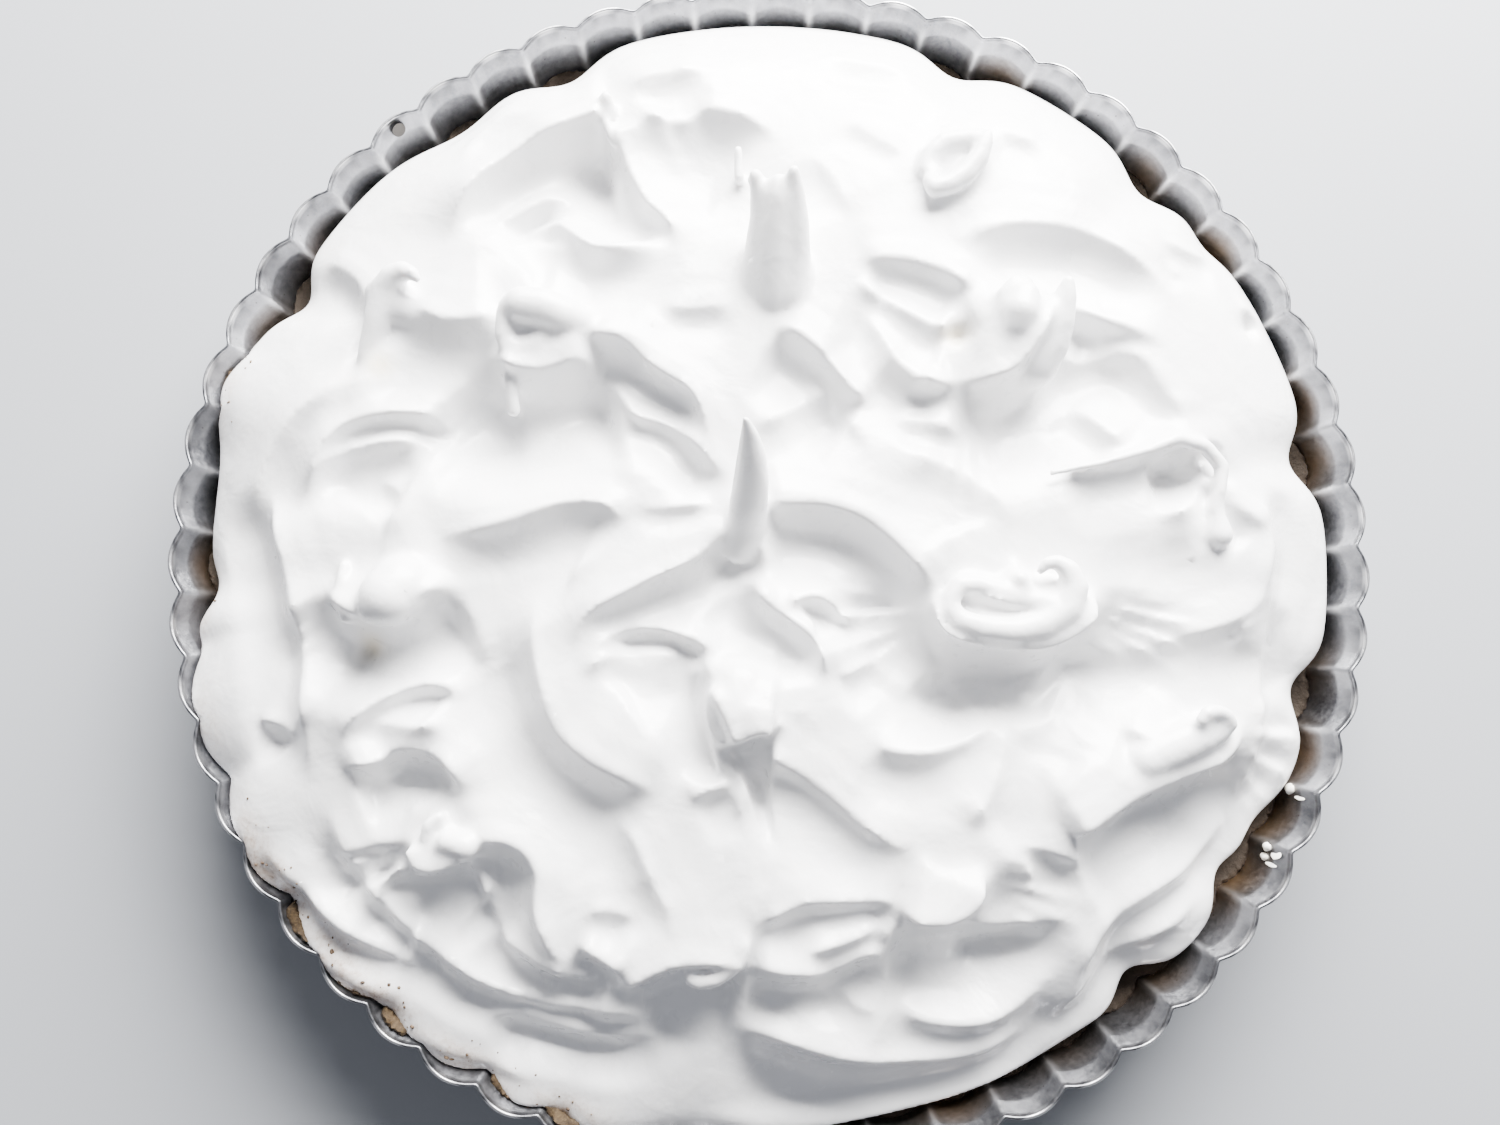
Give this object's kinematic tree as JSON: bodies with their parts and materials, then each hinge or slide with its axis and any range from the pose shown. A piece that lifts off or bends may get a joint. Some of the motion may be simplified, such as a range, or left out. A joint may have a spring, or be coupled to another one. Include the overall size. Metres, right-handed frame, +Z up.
{
  "type": "pear meringue tart in its tin",
  "caption": "Round pear tart in a fluted metal tart tin, topped with a low mound of glossy white meringue pulled into folds, curls and peaks.",
  "frame": {"origin": "on the tin's axis, on the surface that the tin stands on", "axes": "+Z up along the tin's axis; +X to the right and +Y away from a viewer in front"},
  "size_m": [0.2796, 0.2798, 0.0708],
  "materials": {
    "tin": "worn matte grey baking tin with bright edges",
    "crust": "rough browned shortcrust",
    "meringue": "glossy raw whipped egg white, soft and smooth"
  },
  "bodies": {
    "root": {"tin": "tin", "tart_base": "crust", "meringue": "meringue"}
  },
  "joints": []
}
